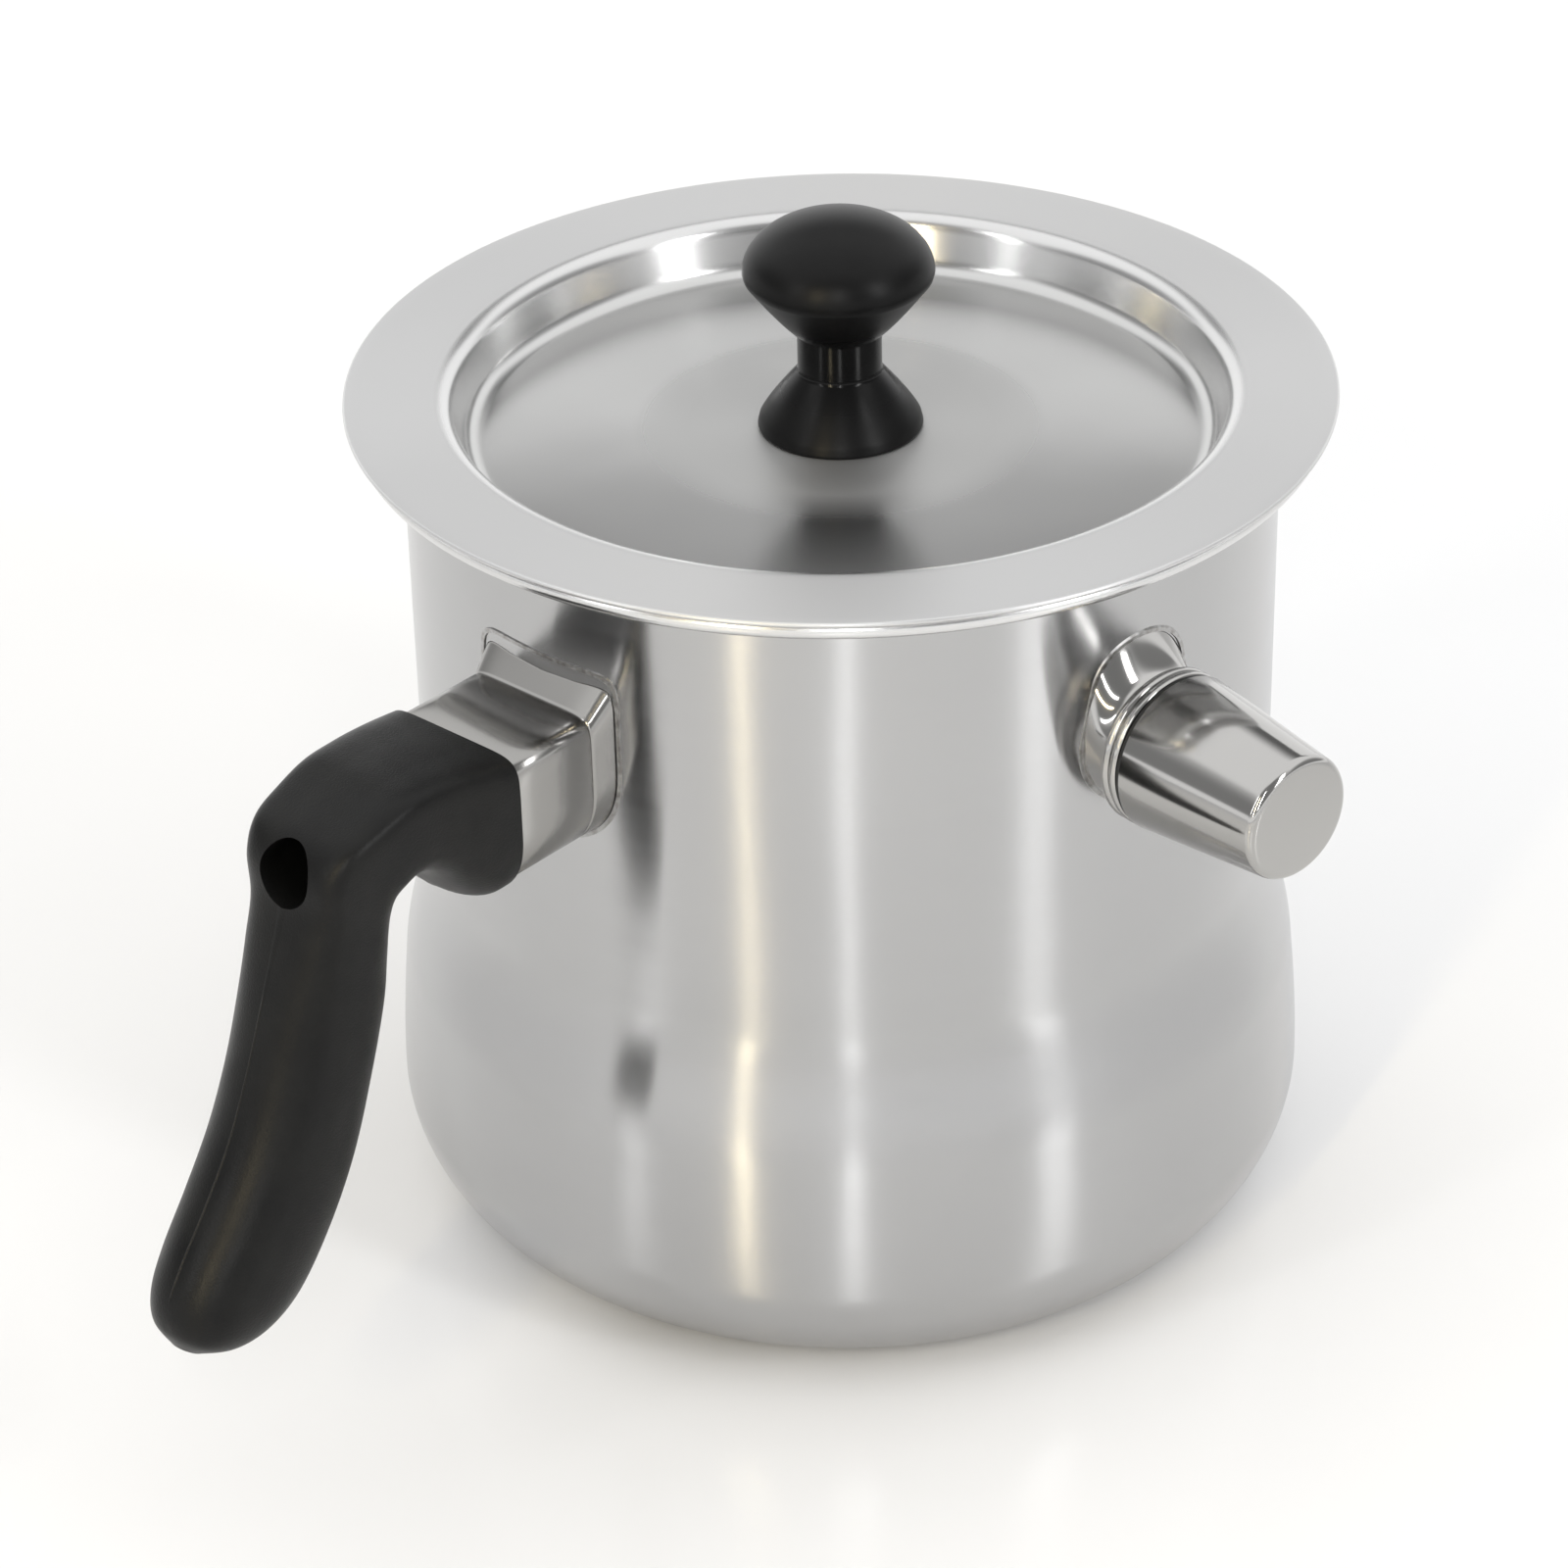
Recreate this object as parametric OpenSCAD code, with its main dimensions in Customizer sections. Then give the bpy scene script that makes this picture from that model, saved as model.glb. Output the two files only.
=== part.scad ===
// Double-walled melting pot with a whistling filler cap, a lift-off lid and a side handle.
// Millimetres. +Z is up, the origin is the centre of the flat base, and the handle points along -X.

/* [Pot] */
// Outer radius of the straight upper wall
wall_r = 80; // [70:0.5:90]
// Largest radius of the belly, near the base
belly_r = 87; // [82:0.5:96]
// Height of the belly's widest point
belly_z = 23.4; // [18:0.2:30]
// Height where the straight wall begins to swell
shoulder_z = 76; // [60:1:90]
// Radius of the flat base
base_r = 66.2; // [55:0.2:70]
// Height of the top of the pot's rim
rim_z = 164.8; // [140:0.2:190]
// Outer radius of the rolled rim
rim_r = 88.8; // [86:0.1:98]
// Inner radius of the liner
liner_r = 72; // [64:0.5:73]
// Height of the liner's floor above the base
liner_floor_z = 11; // [8:0.5:20]
// Thickness of the sheet steel
sheet_t = 0.8; // [0.6:0.1:1]

/* [Lid] */
// Outer radius of the lid
lid_r = 90.3; // [88:0.1:98]
// Thickness of the lid's sheet
lid_t = 0.9; // [0.6:0.1:1]
// Radius where the lid's flange bends down into the dish
lid_crest_r = 73.6; // [73:0.1:75]
// Depth of the lid's dish
lid_dish = 8.8; // [7:0.1:11]
// Gap between the lid and the pot's rim
lid_gap = 0.3; // [0.3:0.05:0.5]

/* [Knob] */
// Largest radius of the knob's head
knob_r = 17.4; // [14:0.1:20]
// Radius of the knob's neck
knob_neck_r = 7.7; // [6:0.1:9]
// Radius of the knob's foot
knob_foot_r = 15.1; // [12:0.1:18]
// Overall height of the knob
knob_h = 41; // [38:0.5:44]

/* [Filler spout and whistle] */
// Angle from the handle round to the spout
spout_turn = 81; // [60:1:120]
// Height of the spout's axis
spout_z = 127.2; // [110:0.2:135]
// Radius of the spout's bore
spout_bore_r = 11.2; // [10.5:0.1:11.8]
// How far the spout's boss is drawn up the wall above the neck
spout_boss_rise = 7; // [4:0.5:9]
// Distance from the pot's axis to the spout's lip
spout_lip_d = 89; // [87:0.5:95]
// Radius of the whistle cap at its mouth
cap_mouth_r = 14.5; // [14:0.1:16]
// Radius of the whistle cap at its closed end
cap_end_r = 11.6; // [11.5:0.1:12.5]
// Length of the whistle cap
cap_len = 29.9; // [26:0.1:36]

/* [Handle] */
// Distance from the pot's axis to the grip's inner face
collar_d = 102.5; // [98:0.5:110]
// Length of the steel ferrule between the bracket and the grip
ferrule_len = 19; // [16:0.5:19.5]
// Height of the handle screw's axis
screw_z = 129.5; // [126:0.5:131]
// Half of the ferrule's width
ferrule_half_w = 14.6; // [13:0.1:15]
// Height of the ferrule's flat top
ferrule_top_z = 137.6; // [136:0.1:138]
// Height of the ferrule's rounded underside
ferrule_low_z = 109.2; // [109:0.1:112]

/* [Hidden] */
$fn = 96;
steel = [0.78, 0.78, 0.79];
dark_steel = [0.6, 0.6, 0.62];
phenolic = [0.05, 0.05, 0.055];
silicone = [0.08, 0.08, 0.08];
brass = [0.78, 0.62, 0.3];
eps = 0.01;

// Pot
belly_power = 1.8;
corner_steps = 14;
flare_steps = 8;
bend_steps = 8;
flare_mid_part = 0.236;
flare_lean = 0.0958;
flare_mid_r = belly_r - flare_mid_part * (belly_r - wall_r);
rim_under_z = rim_z - sheet_t;
liner_corner_r = 14;
mouth_bend_r = 4;
curl_r = 1.6;
curl_turn = 225;
weld_w = 0.7;
weld_h = 0.25;

// Lid
lid_top_z = rim_z + lid_gap + lid_t;
dish_z = lid_top_z - lid_dish;
dish_bend_r = 3.4;
dish_slope = 68;
dish_foot_r = lid_crest_r - 2 * dish_bend_r * sin(dish_slope)
    - (lid_dish - 2 * dish_bend_r * (1 - cos(dish_slope))) / tan(dish_slope);

// M5 fastenings
m5_r = 2.5;
m5_clear_r = 2.75;
m5_washer_r = 5.3;
m5_head_r = 4.3;
m5_head_h = 3.2;
slot_w = 1.2;
slot_depth = 1.4;
washer_t = 1;
spring_washer_t = 1.2;
knob_thread_len = 9;

// Knob, measured up from the dish
knob_edge = 0.5;
knob_foot_h = 1.1;
knob_foot_top = 11.3;
knob_foot_power = 0.85;
knob_under = 18.6;
knob_under_power = 1.15;
knob_brim = 29.6;
knob_brim_h = 1;
knob_steps = 8;
insert_r = 4;

// Handle
grip_hole_r = 5.7;
grip_hole_floor_d = 112;
bracket_d = collar_d - ferrule_len;
ferrule_wall = 1.4;
bracket_flare_w = 1.2;
bracket_flare_top = 6;
bracket_flare_low = 0.3;
bracket_root_d = wall_r - 3;
top_squareness = 9;
low_squareness = 2.4;
nut_plate_t = 3;
nut_plate_w = 16;
nut_plate_h = 12;

// Spout
spout_neck_r = spout_bore_r + 1.4;
spout_neck_d = spout_lip_d - 4.4;
spout_spigot = 2.6;
spout_boss_top_r = 9;
spout_boss_d = wall_r - 4;
groove_bead_r = 1;
groove_bead_back = 2.9;
groove_bead_out = 0.9;
lip_bead_r = 0.9;
lip_bead_out = 1;

// Whistle
seat_gap = 0.3;
seal_clear = 0.05;
seal_flange_t = 0.8;
seal_rim_inset = 0.2;
seal_inset = 7.5;
barrel_t = 0.8;
plate_t = 0.6;
plate_gap = 2.9;
whistle_hole_r = 1.2;
steam_hole_r = 1.5;
cap_t = 0.7;
cap_edge_r = 1.8;
cap_crown = 0.4;
cap_mouth_d = spout_lip_d + seat_gap + seal_flange_t;
cap_end_d = cap_mouth_d + cap_len;
barrel_r = spout_bore_r - 1;
barrel_past_mouth = 8;
seal_past_flange = 2.2;
retainer_w = 0.9;
retainer_t = 0.8;
retainer_gap = 3;
inner_plate_d = spout_lip_d + 1;
outer_plate_d = inner_plate_d + plate_t + plate_gap;

// Grip stations from the ferrule to the tip. Each holds the outer edge (distance, height),
// the inner edge (distance, height), the half width, and the squareness of its two sides.
GRIP = [
    [102.5, 138.6, 102.5, 108.6, 15.7, 8.0, 2.3],
    [105.5, 139.0, 105.8, 108.8, 15.6, 8.0, 2.3],
    [109.5, 139.6, 110.5, 112.0, 15.1, 8.0, 2.4],
    [114.0, 140.1, 115.5, 118.0, 14.4, 8.0, 2.6],
    [119.0, 140.4, 119.6, 121.2, 13.8, 8.0, 2.6],
    [125.8, 140.2, 122.8, 121.6, 13.4, 8.0, 2.6],
    [132.4, 138.4, 124.6, 120.4, 13.0, 8.0, 2.5],
    [139.2, 135.8, 125.6, 118.8, 12.5, 7.0, 2.4],
    [143.2, 130.9, 126.0, 116.4, 11.9, 5.0, 2.4],
    [144.6, 123.6, 126.2, 113.2, 11.5, 3.4, 2.3],
    [147.4, 116.0, 126.4, 109.0, 11.6, 2.8, 2.2],
    [151.0, 107.0, 127.6, 100.6, 11.7, 2.4, 2.2],
    [155.6, 95.5, 131.6, 87.6, 11.7, 2.2, 2.2],
    [160.9, 84.4, 137.0, 73.8, 11.8, 2.2, 2.2],
    [167.4, 74.6, 143.8, 62.2, 11.8, 2.2, 2.2],
    [173.6, 66.4, 151.8, 52.4, 11.4, 2.2, 2.2],
    [177.4, 60.0, 159.2, 48.0, 10.1, 2.2, 2.2],
    [178.4, 54.6, 166.2, 46.9, 7.4, 2.2, 2.2],
    [176.6, 50.2, 172.2, 47.8, 3.0, 2.0, 2.0]
];
grip_steps = 3;
grip_sides = 32;

function unit(v) = v / norm(v);
function arc(cx, cy, r, a0, a1, n) =
    [for (i = [0:n]) let (a = a0 + (a1 - a0) * i / n) [cx + r * cos(a), cy + r * sin(a)]];
function left_normal(p, i) =
    let (t = unit(p[min(i + 1, len(p) - 1)] - p[max(i - 1, 0)])) [-t[1], t[0]];
// Path p thickened by t to its left
function offset_path(p, t) = [for (i = [0:len(p) - 1]) p[i] + t * left_normal(p, i)];
function reverse(p) = [for (i = [len(p) - 1:-1:0]) p[i]];
function band(p, t) = concat(p, reverse(offset_path(p, t)));
function hermite(p0, m0, p1, m1, t) =
    (2 * pow(t, 3) - 3 * t * t + 1) * p0 + (pow(t, 3) - 2 * t * t + t) * m0
    + (3 * t * t - 2 * pow(t, 3)) * p1 + (pow(t, 3) - t * t) * m1;
function signed_pow(v, e) = sign(v) * pow(abs(v), e);

// Outline with a squarer upper half and a rounder lower half
function shield(half_w, low, top, n_top, n_low) =
    let (mid = (low + top) / 2, half_h = (top - low) / 2)
    [for (a = [0:7.5:359])
        let (n = a < 180 ? n_top : n_low)
        [half_w * signed_pow(cos(a), 2 / n), mid + half_h * signed_pow(sin(a), 2 / n)]];

// Outer outline of the jacket from the centre of the base up to the rim
function jacket_path() =
    let (span = (shoulder_z - belly_z) / 2, lean = flare_lean * span)
    concat(
        [[0, 0], [base_r / 2, 0]],
        [for (i = [0:corner_steps])
            let (a = 90 * i / corner_steps)
            [base_r + (belly_r - base_r) * pow(sin(a), 2 / belly_power),
             belly_z * (1 - pow(cos(a), 2 / belly_power))]],
        [for (i = [1:flare_steps])
            let (t = i / flare_steps)
            [hermite(belly_r, 0, flare_mid_r, -lean, t), belly_z + span * t]],
        [for (i = [1:flare_steps])
            let (t = i / flare_steps)
            [hermite(flare_mid_r, -lean, wall_r, 0, t), belly_z + span * (1 + t)]],
        [[wall_r, shoulder_z + 1], [wall_r, rim_under_z]]
    );

module along_spout() {
    translate([0, 0, spout_z])
        rotate([0, 0, 180 + spout_turn])
            rotate([0, 90, 0])
                children();
}

module ring(r_in, r_out, from, to) {
    translate([0, 0, from])
        difference() {
            cylinder(r = r_out, h = to - from);
            translate([0, 0, -1])
                cylinder(r = r_in, h = to - from + 2);
        }
}

// A shape drawn in the handle's cross-section, standing from one distance to another
module across_handle(from, to) {
    translate([-from, 0, 0])
        rotate([90, 0, -90])
            linear_extrude(height = to - from)
                children();
}

module outer_jacket() {
    color(steel)
        difference() {
            rotate_extrude()
                polygon(band(jacket_path(), sheet_t));
            along_spout()
                translate([0, 0, wall_r - 20])
                    cylinder(r = spout_bore_r + sheet_t, h = 40);
        }
}

module inner_liner() {
    corner = arc(liner_r - liner_corner_r, liner_floor_z + liner_corner_r, liner_corner_r, -90, 0, 10);
    mouth = arc(liner_r + mouth_bend_r, rim_z - mouth_bend_r, mouth_bend_r, 180, 90, 8);
    curl = arc(rim_r - curl_r, rim_z - curl_r, curl_r, 90, 90 - curl_turn, 14);
    color(steel)
        rotate_extrude()
            polygon(band(concat([[0, liner_floor_z]], corner, mouth, curl), -sheet_t));
}

// Fillet that joins the jacket's top edge to the underside of the rim
module rim_weld() {
    color(dark_steel)
        rotate_extrude()
            polygon([
                [wall_r, rim_under_z],
                [wall_r, rim_under_z - weld_w],
                [wall_r + 0.3 * weld_w, rim_under_z - 0.4 * weld_w],
                [wall_r + weld_w, rim_under_z]
            ]);
}

// Distance from the spout's axis up to the boss's top in the hidden plane where it starts
function boss_rise() =
    spout_boss_rise * (spout_neck_d - spout_boss_d) / (spout_neck_d - wall_r);

// Boss under the neck, drawn up the wall: it is cut off at the wall by its users
module spout_boss(grow = 0) {
    hull() {
        translate([0, 0, spout_boss_d])
            cylinder(r = spout_neck_r + grow, h = spout_neck_d - spout_boss_d);
        translate([-spout_neck_r - boss_rise() + spout_boss_top_r, 0, spout_boss_d])
            cylinder(r = spout_boss_top_r + grow, h = eps);
    }
}

// Filler tube: boss on the wall, straight neck and a double rolled lip
module filler_spout() {
    groove_bead = arc(spout_neck_r + groove_bead_out, spout_lip_d - groove_bead_back,
        groove_bead_r, -80, 80, bend_steps);
    lip_bead = arc(spout_neck_r + lip_bead_out, spout_lip_d - lip_bead_r,
        lip_bead_r, -80, 90, bend_steps);
    color(steel) {
        difference() {
            along_spout() {
                rotate_extrude()
                    polygon(concat(
                        [[spout_bore_r, spout_neck_d - 1], [spout_neck_r, spout_neck_d - 1]],
                        [[spout_neck_r, spout_neck_d]],
                        groove_bead, lip_bead,
                        [[spout_bore_r, spout_lip_d]]
                    ));
                difference() {
                    spout_boss();
                    translate([0, 0, spout_boss_d - 1])
                        cylinder(r = spout_bore_r, h = 2 * wall_r);
                }
            }
            cylinder(r = wall_r, h = rim_z);
        }
        along_spout()
            ring(spout_bore_r, spout_bore_r + sheet_t, wall_r - spout_spigot, wall_r + 1);
    }
}

module spout_weld() {
    color(dark_steel)
        intersection() {
            along_spout()
                difference() {
                    spout_boss(weld_w);
                    spout_boss();
                }
            ring(wall_r, wall_r + weld_h, spout_z - 30, spout_z + 30);
        }
}

module ferrule_outline(grow = 0) {
    polygon(shield(
        ferrule_half_w + grow,
        ferrule_low_z - grow,
        ferrule_top_z + grow, top_squareness, low_squareness));
}

module bracket_outline(grow = 0) {
    polygon(shield(
        ferrule_half_w + bracket_flare_w + grow,
        ferrule_low_z - bracket_flare_low - grow,
        ferrule_top_z + bracket_flare_top + grow, top_squareness, low_squareness));
}

// Cast bracket: its root flares onto the round wall and its face carries the ferrule
module handle_bracket() {
    color(steel)
        difference() {
            hull() {
                across_handle(bracket_d - eps, bracket_d)
                    ferrule_outline();
                across_handle(bracket_root_d, bracket_root_d + eps)
                    bracket_outline();
            }
            cylinder(r = wall_r, h = rim_z);
            across_handle(bracket_d - nut_plate_t, bracket_d + 1)
                translate([-nut_plate_w / 2, screw_z - nut_plate_h / 2])
                    square([nut_plate_w, nut_plate_h]);
            translate([-bracket_d - 1, 0, screw_z])
                rotate([0, 90, 0])
                    cylinder(r = m5_clear_r, h = ferrule_len + 10);
        }
}

module bracket_weld() {
    color(dark_steel)
        intersection() {
            across_handle(wall_r - 8, wall_r + 2)
                difference() {
                    bracket_outline(weld_w);
                    bracket_outline();
                }
            ring(wall_r, wall_r + weld_h, ferrule_low_z - 10, ferrule_top_z + 15);
        }
}

module bracket_nut_plate() {
    color(dark_steel)
        difference() {
            across_handle(bracket_d - nut_plate_t, bracket_d)
                translate([-nut_plate_w / 2, screw_z - nut_plate_h / 2])
                    square([nut_plate_w, nut_plate_h]);
            translate([-bracket_d - 1, 0, screw_z])
                rotate([0, 90, 0])
                    cylinder(r = m5_r, h = nut_plate_t + 2);
        }
}

module handle_ferrule() {
    color(steel)
        across_handle(bracket_d, collar_d)
            difference() {
                ferrule_outline();
                ferrule_outline(-ferrule_wall);
            }
}

function spline(v0, v1, v2, v3, t) =
    0.5 * (2 * v1 + (v2 - v0) * t + (2 * v0 - 5 * v1 + 4 * v2 - v3) * t * t
    + (3 * v1 - v0 - 3 * v2 + v3) * t * t * t);
function grip_station(s) =
    let (last = len(GRIP) - 1, i = min(floor(s), last - 1), t = s - i)
    spline(GRIP[max(i - 1, 0)], GRIP[i], GRIP[i + 1], GRIP[min(i + 2, last)], t);
function grip_ring(g) =
    [for (k = [0:grip_sides - 1])
        let (
            a = 360 * k / grip_sides,
            n = a < 180 ? g[5] : g[6],
            across = g[4] * signed_pow(cos(a), 2 / n),
            along = signed_pow(sin(a), 2 / n),
            d = (g[0] + g[2]) / 2 + along * (g[0] - g[2]) / 2,
            h = (g[1] + g[3]) / 2 + along * (g[1] - g[3]) / 2
        )
        [-d, across, h]];

// Moulded grip, lofted through its stations
module grip_body() {
    last = (len(GRIP) - 1) * grip_steps;
    rings = [for (j = [0:last]) grip_ring(grip_station(j / grip_steps))];
    points = [for (r = rings) each r];
    sides = [for (j = [0:last - 1]) for (k = [0:grip_sides - 1])
        let (a = j * grip_sides + k, b = j * grip_sides + (k + 1) % grip_sides)
        each [[a, b, b + grip_sides], [a, b + grip_sides, a + grip_sides]]];
    near_cap = [for (k = [grip_sides - 1:-1:0]) k];
    far_cap = [for (k = [0:grip_sides - 1]) last * grip_sides + k];
    polyhedron(points, concat(sides, [near_cap, far_cap]));
}

module handle_grip() {
    color(phenolic)
        difference() {
            grip_body();
            translate([-160, 0, screw_z])
                rotate([0, 90, 0])
                    cylinder(r = grip_hole_r, h = 160 - grip_hole_floor_d);
            translate([-130, 0, screw_z])
                rotate([0, 90, 0])
                    cylinder(r = m5_clear_r, h = 40);
        }
}

// Slotted screw along -Z, its head standing up from the origin
module slotted_screw(length) {
    difference() {
        union() {
            cylinder(r = m5_head_r, h = m5_head_h);
            translate([0, 0, -length])
                cylinder(r = m5_r, h = length + 1);
        }
        translate([-m5_head_r - 1, -slot_w / 2, m5_head_h - slot_depth])
            cube([2 * m5_head_r + 2, slot_w, slot_depth + 1]);
    }
}

module on_handle_screw(d) {
    translate([-d, 0, screw_z])
        rotate([0, -90, 0])
            children();
}

module handle_screw() {
    head_d = grip_hole_floor_d + washer_t + spring_washer_t;
    color(dark_steel)
        on_handle_screw(head_d)
            slotted_screw(head_d - bracket_d + nut_plate_t);
}

module handle_flat_washer() {
    color(dark_steel)
        on_handle_screw(grip_hole_floor_d)
            ring(m5_clear_r, m5_washer_r, 0, washer_t);
}

module handle_spring_washer() {
    color(dark_steel)
        on_handle_screw(grip_hole_floor_d + washer_t)
            difference() {
                ring(m5_clear_r, m5_head_r, 0, spring_washer_t);
                translate([0, -0.5, -1])
                    cube([m5_washer_r, 1, spring_washer_t + 2]);
            }
}

// Tapered cup that covers the whistle, with a steam hole underneath
module whistle_cap() {
    flat_r = cap_end_r - cap_edge_r;
    taper = atan((cap_mouth_r - cap_end_r) / cap_len);
    corner = arc(flat_r, cap_end_d - cap_crown - cap_edge_r, cap_edge_r, taper, 86, bend_steps);
    outline = concat(
        [[cap_mouth_r, cap_mouth_d]], corner,
        [[flat_r / 2, cap_end_d - cap_crown / 4], [cap_t, cap_end_d], [0, cap_end_d]]
    );
    color(steel)
        difference() {
            along_spout()
                rotate_extrude()
                    polygon(band(outline, cap_t));
            along_spout()
                translate([0, 0, (cap_mouth_d + cap_end_d) / 2])
                    rotate([0, 90, 0])
                        cylinder(r = steam_hole_r, h = 2 * cap_mouth_r);
        }
}

// Metal tube that carries the seal outside and the whistle plates inside
module whistle_barrel() {
    flange_d = cap_mouth_d + barrel_past_mouth;
    flange_r = cap_mouth_r - cap_t - 1;
    color(dark_steel)
        along_spout() {
            ring(barrel_r - barrel_t, barrel_r, spout_lip_d - seal_inset, flange_d);
            ring(barrel_r - barrel_t, flange_r, flange_d - barrel_t, flange_d);
        }
}

module whistle_seal() {
    seal_r = spout_bore_r - seal_clear;
    flange_d = spout_lip_d + seat_gap;
    flange_top_d = cap_mouth_d - seal_rim_inset;
    color(silicone)
        along_spout() {
            ring(barrel_r, seal_r, spout_lip_d - seal_inset + seat_gap, flange_d);
            ring(barrel_r, cap_mouth_r - seal_rim_inset, flange_d, flange_top_d);
            ring(barrel_r, seal_r, flange_top_d, cap_mouth_d + seal_past_flange);
        }
}

module whistle_disc(from) {
    along_spout()
        ring(whistle_hole_r, barrel_r - barrel_t, from, from + plate_t);
}

module whistle_inner_plate() {
    color(brass)
        whistle_disc(inner_plate_d);
}

module whistle_spacer() {
    color(dark_steel)
        along_spout()
            ring(barrel_r - barrel_t - 1, barrel_r - barrel_t,
                inner_plate_d + plate_t, outer_plate_d);
}

module whistle_outer_plate() {
    color(brass)
        whistle_disc(outer_plate_d);
}

module whistle_retainer() {
    from = outer_plate_d + plate_t;
    color(dark_steel)
        along_spout()
            difference() {
                ring(barrel_r - barrel_t - retainer_w, barrel_r - barrel_t, from, from + retainer_t);
                translate([0, -retainer_gap / 2, from - 1])
                    cube([barrel_r, retainer_gap, 3]);
            }
}

// Pressed lid: flat flange, steep bend and a dished centre
module lid_shell() {
    edge_r = lid_t / 2;
    rise = lid_top_z - dish_bend_r;
    foot = arc(dish_foot_r, dish_z + dish_bend_r, dish_bend_r, -90, dish_slope - 90, bend_steps);
    crest = arc(lid_crest_r, rise, dish_bend_r, 90 + dish_slope, 90, bend_steps);
    top = concat([[m5_clear_r, dish_z]], foot, crest, [[lid_r - edge_r, lid_top_z]]);
    edge = arc(lid_r - edge_r, lid_top_z - edge_r, edge_r, 75, -75, 6);
    color(steel)
        rotate_extrude()
            polygon(concat(top, edge, reverse(offset_path(top, -lid_t))));
}

// Mushroom knob on a bell-shaped foot
module lid_knob() {
    neck_z = dish_z + knob_foot_top;
    under_z = dish_z + knob_under;
    brim_z = dish_z + knob_brim;
    dome_z = brim_z + knob_brim_h;
    dome_h = dish_z + knob_h - dome_z;
    foot = [for (i = [0:knob_steps])
        let (t = i / knob_steps)
        [knob_foot_r - (knob_foot_r - knob_neck_r) * t,
         dish_z + knob_foot_h + (neck_z - dish_z - knob_foot_h) * pow(t, knob_foot_power)]];
    under = [for (i = [0:knob_steps])
        let (t = i / knob_steps)
        [knob_neck_r + (knob_r - knob_neck_r) * t,
         under_z + (brim_z - under_z) * pow(t, knob_under_power)]];
    dome = arc(0, 0, 1, 0, 90, 2 * knob_steps);
    outline = concat(
        [[0, dish_z], [knob_foot_r - knob_edge, dish_z], [knob_foot_r, dish_z + knob_edge]],
        foot, under,
        [for (p = dome) [knob_r * p[0], dome_z + dome_h * p[1]]]
    );
    color(phenolic)
        difference() {
            rotate_extrude()
                polygon(outline);
            translate([0, 0, dish_z - 1])
                cylinder(r = insert_r, h = knob_thread_len + 2);
        }
}

module knob_insert() {
    color(brass)
        ring(m5_r, insert_r, dish_z, dish_z + knob_thread_len);
}

module knob_screw() {
    head_z = dish_z - lid_t - washer_t;
    color(dark_steel)
        translate([0, 0, head_z])
            rotate([180, 0, 0])
                slotted_screw(lid_t + washer_t + knob_thread_len - 1);
}

module knob_washer() {
    color(dark_steel)
        ring(m5_clear_r, m5_washer_r, dish_z - lid_t - washer_t, dish_z - lid_t);
}

outer_jacket();
inner_liner();
rim_weld();
filler_spout();
spout_weld();
handle_bracket();
bracket_weld();
bracket_nut_plate();
handle_ferrule();
handle_grip();
handle_screw();
handle_flat_washer();
handle_spring_washer();
whistle_cap();
whistle_barrel();
whistle_seal();
whistle_inner_plate();
whistle_spacer();
whistle_outer_plate();
whistle_retainer();
lid_shell();
lid_knob();
knob_insert();
knob_screw();
knob_washer();
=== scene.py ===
import math

import bmesh
import bpy
from mathutils import Matrix, Vector


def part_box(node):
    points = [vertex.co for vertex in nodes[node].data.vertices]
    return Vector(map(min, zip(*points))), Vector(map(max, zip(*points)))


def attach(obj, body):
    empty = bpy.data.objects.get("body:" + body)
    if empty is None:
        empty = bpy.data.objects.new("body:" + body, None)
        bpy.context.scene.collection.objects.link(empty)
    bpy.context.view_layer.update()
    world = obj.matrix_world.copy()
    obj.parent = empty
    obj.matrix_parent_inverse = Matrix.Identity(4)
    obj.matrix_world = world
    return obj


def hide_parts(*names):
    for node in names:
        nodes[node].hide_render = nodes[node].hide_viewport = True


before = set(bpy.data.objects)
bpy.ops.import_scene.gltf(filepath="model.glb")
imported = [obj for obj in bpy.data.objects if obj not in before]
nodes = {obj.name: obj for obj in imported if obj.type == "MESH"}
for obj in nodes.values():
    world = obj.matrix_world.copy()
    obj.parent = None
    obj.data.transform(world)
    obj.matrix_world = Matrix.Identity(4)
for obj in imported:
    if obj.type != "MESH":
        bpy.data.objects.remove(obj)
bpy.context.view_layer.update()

MM = 0.001

# ---------------------------------------------------------------------------
# Dimensions in millimetres, the same driving values as the CAD part. Heights end in _Z, radii
# in _R, and distances from the pot's axis along the spout or the handle in _D.
# ---------------------------------------------------------------------------
WALL_R = 80.0
BELLY_R = 87.0
BELLY_Z = 23.4
BELLY_POWER = 1.8
SHOULDER_Z = 76.0
FLARE_MID_PART = 0.236
FLARE_LEAN = 0.0958
BASE_R = 66.2
SHEET = 0.8
LINER_R = 72.0
LINER_FLOOR_Z = 11.0
LINER_CORNER_R = 14.0
MOUTH_BEND_R = 4.0
CURL_R = 1.6
CURL_TURN = 225
RIM_R = 88.8
RIM_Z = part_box("inner_liner")[1].z / MM
LID_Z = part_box("lid_shell")[1].z / MM
LID_R = 90.29
LID_T = 0.9
LID_CREST_R = 73.6
LID_DISH = 8.8
DISH_BEND_R = 3.4
DISH_SLOPE = 68
DISH_Z = LID_Z - LID_DISH
DISH_SAG = 1.2

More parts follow.
